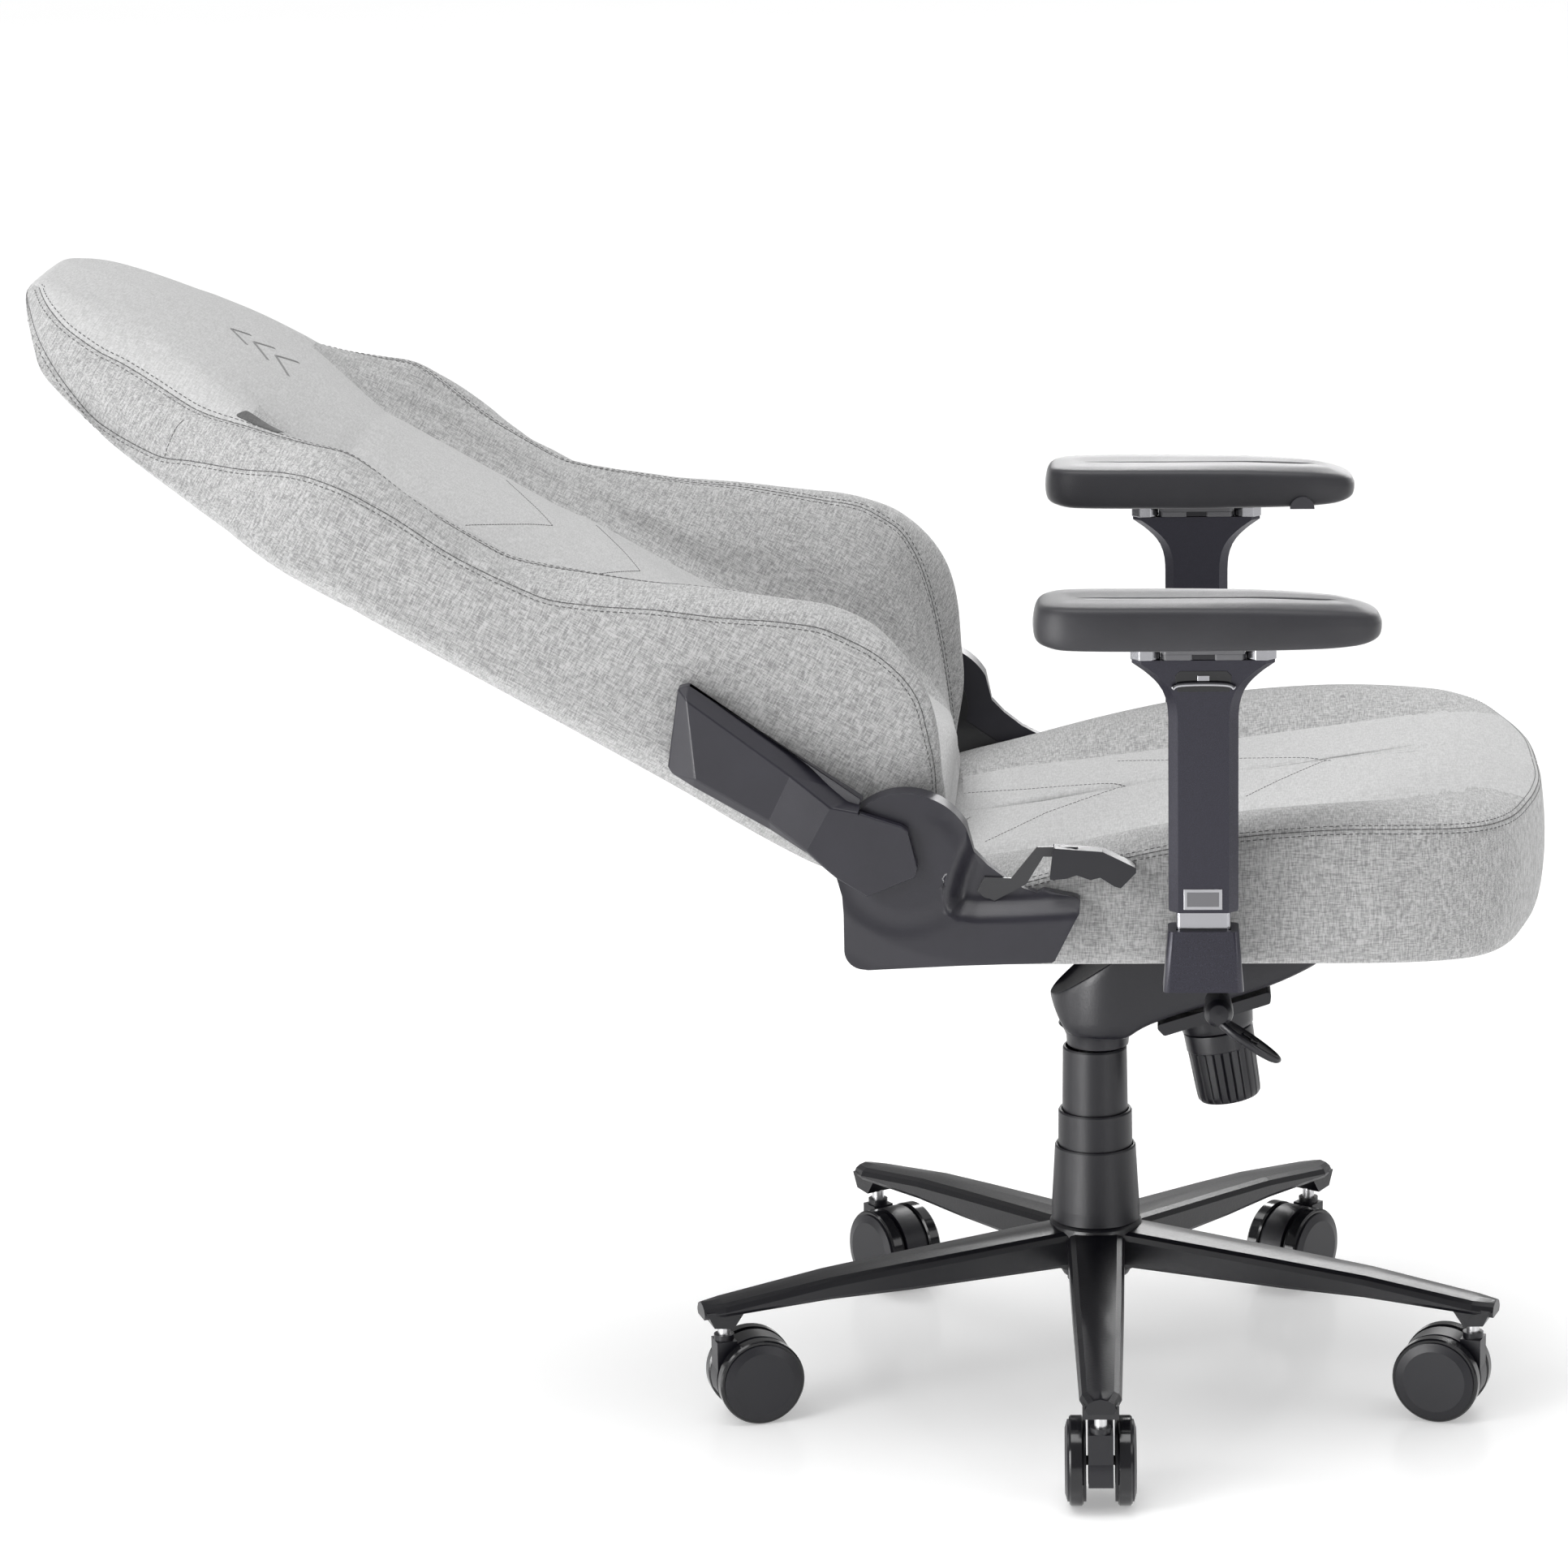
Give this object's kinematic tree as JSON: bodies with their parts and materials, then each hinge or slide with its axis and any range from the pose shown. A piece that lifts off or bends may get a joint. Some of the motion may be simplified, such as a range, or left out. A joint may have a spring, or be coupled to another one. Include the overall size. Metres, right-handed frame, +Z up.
{
  "type": "reclining gaming chair",
  "caption": "High-backed reclining chair with winged cushions, adjustable armrests, tilt mechanism, gas lift and a five-arm base on twin-wheel casters.",
  "frame": {"origin": "on the floor, on the gas lift's vertical axis", "axes": "+X towards the front of the chair, +Y to the sitter's left, +Z up"},
  "size_m": [1.2805, 0.7083, 0.9911],
  "materials": {
    "base_metal": "satin black powder coat",
    "stem_steel": "turned steel",
    "column_plastic": "satin black",
    "tube_metal": "black paint",
    "bush_plastic": "natural acetal",
    "caster_plastic": "satin",
    "tread_plastic": "polished tread",
    "mechanism_metal": "satin black",
    "control_plastic": "satin",
    "strap_steel": "black",
    "seat_fabric": "heathered weave",
    "back_fabric": "heathered weave",
    "pan_wood": "moulded plywood",
    "frame_metal": "black paint",
    "hinge_plastic": "satin charcoal",
    "post_chrome": "polished",
    "sleeve_metal": "metallic charcoal powder coat",
    "carriage_metal": "satin",
    "pad_skin": "fine grained soft skin",
    "button_plastic": "grey"
  },
  "bodies": {
    "base": {"star_base": "base_metal", "caster_stems": "stem_steel", "cover_bottom": "column_plastic", "lift_stand_tube": "tube_metal", "lift_guide_bush": "bush_plastic"},
    "lift_rod": {"lift_piston_rod": "stem_steel", "lift_thrust_bearing": "stem_steel"},
    "cover_middle": {"cover_middle": "column_plastic"},
    "mechanism": {"mechanism_housing": "mechanism_metal", "lift_pressure_tube": "stem_steel", "cover_top": "column_plastic", "spring_cover": "control_plastic", "tilt_spring": "stem_steel"},
    "release_button": {"lift_release_button": "stem_steel"},
    "height_lever": {"lift_lever": "control_plastic"},
    "knob": {"tension_knob": "control_plastic", "tension_bolt": "stem_steel"},
    "seat": {"seat_plate": "mechanism_metal", "tilt_axle": "stem_steel", "seat_pan": "pan_wood", "seat_cushion": "seat_fabric", "armrest_brackets": "sleeve_metal", "armrest_posts": "post_chrome", "seat_hinge_plates": "frame_metal", "seat_hinge_cover_right": "hinge_plastic", "seat_hinge_cover_left": "hinge_plastic"},
    "backrest": {"back_cushion": "back_fabric", "back_bolster_right": "back_fabric", "back_bolster_left": "back_fabric", "back_frame": "frame_metal", "back_hinge_arms": "frame_metal", "back_hinge_cover_right": "hinge_plastic", "back_hinge_cover_left": "hinge_plastic"},
    "recline_handle": {"recline_lever": "strap_steel", "recline_grip": "control_plastic"},
    "caster_1": {"caster_housing_1": "caster_plastic"},
    "wheels_1": {"caster_wheels_1": "caster_plastic", "caster_treads_1": "tread_plastic"},
    "caster_2": {"caster_housing_2": "caster_plastic"},
    "wheels_2": {"caster_wheels_2": "caster_plastic", "caster_treads_2": "tread_plastic"},
    "caster_3": {"caster_housing_3": "caster_plastic"},
    "wheels_3": {"caster_wheels_3": "caster_plastic", "caster_treads_3": "tread_plastic"},
    "caster_4": {"caster_housing_4": "caster_plastic"},
    "wheels_4": {"caster_wheels_4": "caster_plastic", "caster_treads_4": "tread_plastic"},
    "caster_5": {"caster_housing_5": "caster_plastic"},
    "wheels_5": {"caster_wheels_5": "caster_plastic", "caster_treads_5": "tread_plastic"},
    "arm_right": {"armrest_sleeve_right": "sleeve_metal"},
    "arm_trigger_right": {"armrest_trigger_right": "post_chrome"},
    "arm_swivel_right": {"armrest_swivel_plate_right": "post_chrome"},
    "arm_carriage_right": {"armrest_carriage_right": "carriage_metal"},
    "pad_right": {"armrest_pad_right": "pad_skin"},
    "pad_button_right": {"armrest_button_right": "button_plastic"},
    "arm_left": {"armrest_sleeve_left": "sleeve_metal"},
    "arm_trigger_left": {"armrest_trigger_left": "post_chrome"},
    "arm_swivel_left": {"armrest_swivel_plate_left": "post_chrome"},
    "arm_carriage_left": {"armrest_carriage_left": "carriage_metal"},
    "pad_left": {"armrest_pad_left": "pad_skin"},
    "pad_button_left": {"armrest_button_left": "button_plastic"}
  },
  "joints": [
    {"name": "caster_1_swivel", "type": "hinge", "parent": "base", "child": "caster_1", "pos_m": [0.00649, -0.33794, 0.06], "axis": [0, 0, 1], "continuous": true},
    {"name": "caster_1_roll", "type": "hinge", "parent": "caster_1", "child": "wheels_1", "pos_m": [0.00597, -0.31094, 0.0375], "axis": [0.9998, 0.0192, 0], "continuous": true},
    {"name": "caster_2_swivel", "type": "hinge", "parent": "base", "child": "caster_2", "pos_m": [0.3234, -0.09826, 0.06], "axis": [0, 0, 1], "continuous": true},
    {"name": "caster_2_roll", "type": "hinge", "parent": "caster_2", "child": "wheels_2", "pos_m": [0.29757, -0.09041, 0.0375], "axis": [0.2907, 0.9568, 0], "continuous": true},
    {"name": "caster_3_swivel", "type": "hinge", "parent": "base", "child": "caster_3", "pos_m": [0.19339, 0.27721, 0.06], "axis": [0, 0, 1], "continuous": true},
    {"name": "caster_3_roll", "type": "hinge", "parent": "caster_3", "child": "wheels_3", "pos_m": [0.17794, 0.25507, 0.0375], "axis": [-0.8202, 0.5721, 0], "continuous": true},
    {"name": "caster_4_swivel", "type": "hinge", "parent": "base", "child": "caster_4", "pos_m": [-0.20388, 0.26958, 0.06], "axis": [0, 0, 1], "continuous": true},
    {"name": "caster_4_roll", "type": "hinge", "parent": "caster_4", "child": "wheels_4", "pos_m": [-0.1876, 0.24805, 0.0375], "axis": [-0.7976, -0.6032, 0], "continuous": true},
    {"name": "caster_5_swivel", "type": "hinge", "parent": "base", "child": "caster_5", "pos_m": [-0.31939, -0.1106, 0.06], "axis": [0, 0, 1], "continuous": true},
    {"name": "caster_5_roll", "type": "hinge", "parent": "caster_5", "child": "wheels_5", "pos_m": [-0.29388, -0.10176, 0.0375], "axis": [0.3272, -0.9449, 0], "continuous": true},
    {"name": "column_swivel", "type": "hinge", "parent": "base", "child": "lift_rod", "pos_m": [0, 0, 0.09], "axis": [0, 0, 1], "continuous": true},
    {"name": "lift_height", "type": "slide", "parent": "lift_rod", "child": "mechanism", "axis": [0, 0, 1], "range_m": [-0.055, 0.04]},
    {"name": "cover_middle_slide", "type": "slide", "parent": "base", "child": "cover_middle", "axis": [0, 0, 1], "range_m": [-0.0275, 0.02]},
    {"name": "height_lever_lift", "type": "hinge", "parent": "mechanism", "child": "height_lever", "pos_m": [0.105, -0.045, 0.372], "axis": [-1, 0, 0], "range_deg": [0, 5], "stiffness_Nm_per_rad": 6, "springref_deg": -2.86},
    {"name": "release_button_press", "type": "slide", "parent": "mechanism", "child": "release_button", "axis": [0, 0, -1], "range_m": [0, 0.004]},
    {"name": "tension_knob_turn", "type": "hinge", "parent": "mechanism", "child": "knob", "pos_m": [0.1065, 0, 0.32], "axis": [-0.165, 0, 0.9863], "range_deg": [0, 1080]},
    {"name": "seat_tilt", "type": "hinge", "parent": "mechanism", "child": "seat", "pos_m": [0.165, 0, 0.405], "axis": [0, -1, 0], "range_deg": [0, 12], "stiffness_Nm_per_rad": 900, "springref_deg": -9.17},
    {"name": "recline", "type": "hinge", "parent": "seat", "child": "backrest", "pos_m": [-0.1495, 0, 0.543], "axis": [0, 1, 0], "range_deg": [-5, 58]},
    {"name": "recline_handle_lift", "type": "hinge", "parent": "seat", "child": "recline_handle", "pos_m": [-0.082, -0.279, 0.518], "axis": [0, -1, 0], "range_deg": [0, 28], "stiffness_Nm_per_rad": 1.2, "springref_deg": -14.32},
    {"name": "armrest_height_right", "type": "slide", "parent": "seat", "child": "arm_right", "axis": [0, 0, 1], "range_m": [-0.015, 0.055]},
    {"name": "armrest_trigger_lift_right", "type": "slide", "parent": "arm_right", "child": "arm_trigger_right", "axis": [0, 0, 1], "range_m": [0, 0.003], "stiffness_N_per_m": 400, "springref_m": -0.003},
    {"name": "armrest_swivel_right", "type": "hinge", "parent": "arm_right", "child": "arm_swivel_right", "pos_m": [0.091, -0.3, 0.717], "axis": [0, 0, 1], "range_deg": [-20, 20]},
    {"name": "armrest_width_right", "type": "slide", "parent": "arm_swivel_right", "child": "arm_carriage_right", "axis": [0, -1, 0], "range_m": [-0.012, 0.012]},
    {"name": "armrest_depth_right", "type": "slide", "parent": "arm_carriage_right", "child": "pad_right", "axis": [1, 0, 0], "range_m": [-0.025, 0.025]},
    {"name": "armrest_button_press_right", "type": "slide", "parent": "pad_right", "child": "pad_button_right", "axis": [0, -1, 0], "range_m": [0, 0.002], "stiffness_N_per_m": 500, "springref_m": -0.002},
    {"name": "armrest_height_left", "type": "slide", "parent": "seat", "child": "arm_left", "axis": [0, 0, 1], "range_m": [-0.015, 0.055]},
    {"name": "armrest_trigger_lift_left", "type": "slide", "parent": "arm_left", "child": "arm_trigger_left", "axis": [0, 0, 1], "range_m": [0, 0.003], "stiffness_N_per_m": 400, "springref_m": -0.003},
    {"name": "armrest_swivel_left", "type": "hinge", "parent": "arm_left", "child": "arm_swivel_left", "pos_m": [0.091, 0.3, 0.717], "axis": [0, 0, 1], "range_deg": [-20, 20]},
    {"name": "armrest_width_left", "type": "slide", "parent": "arm_swivel_left", "child": "arm_carriage_left", "axis": [0, 1, 0], "range_m": [-0.012, 0.012]},
    {"name": "armrest_depth_left", "type": "slide", "parent": "arm_carriage_left", "child": "pad_left", "axis": [1, 0, 0], "range_m": [-0.025, 0.025]},
    {"name": "armrest_button_press_left", "type": "slide", "parent": "pad_left", "child": "pad_button_left", "axis": [0, 1, 0], "range_m": [0, 0.002], "stiffness_N_per_m": 500, "springref_m": -0.002}
  ],
  "couplings": [
    {"joint": "cover_middle_slide", "follows": "lift_height", "ratio": 0.5},
    {"joint": "release_button_press", "follows": "height_lever_lift", "m_per_rad": 0.045}
  ]
}
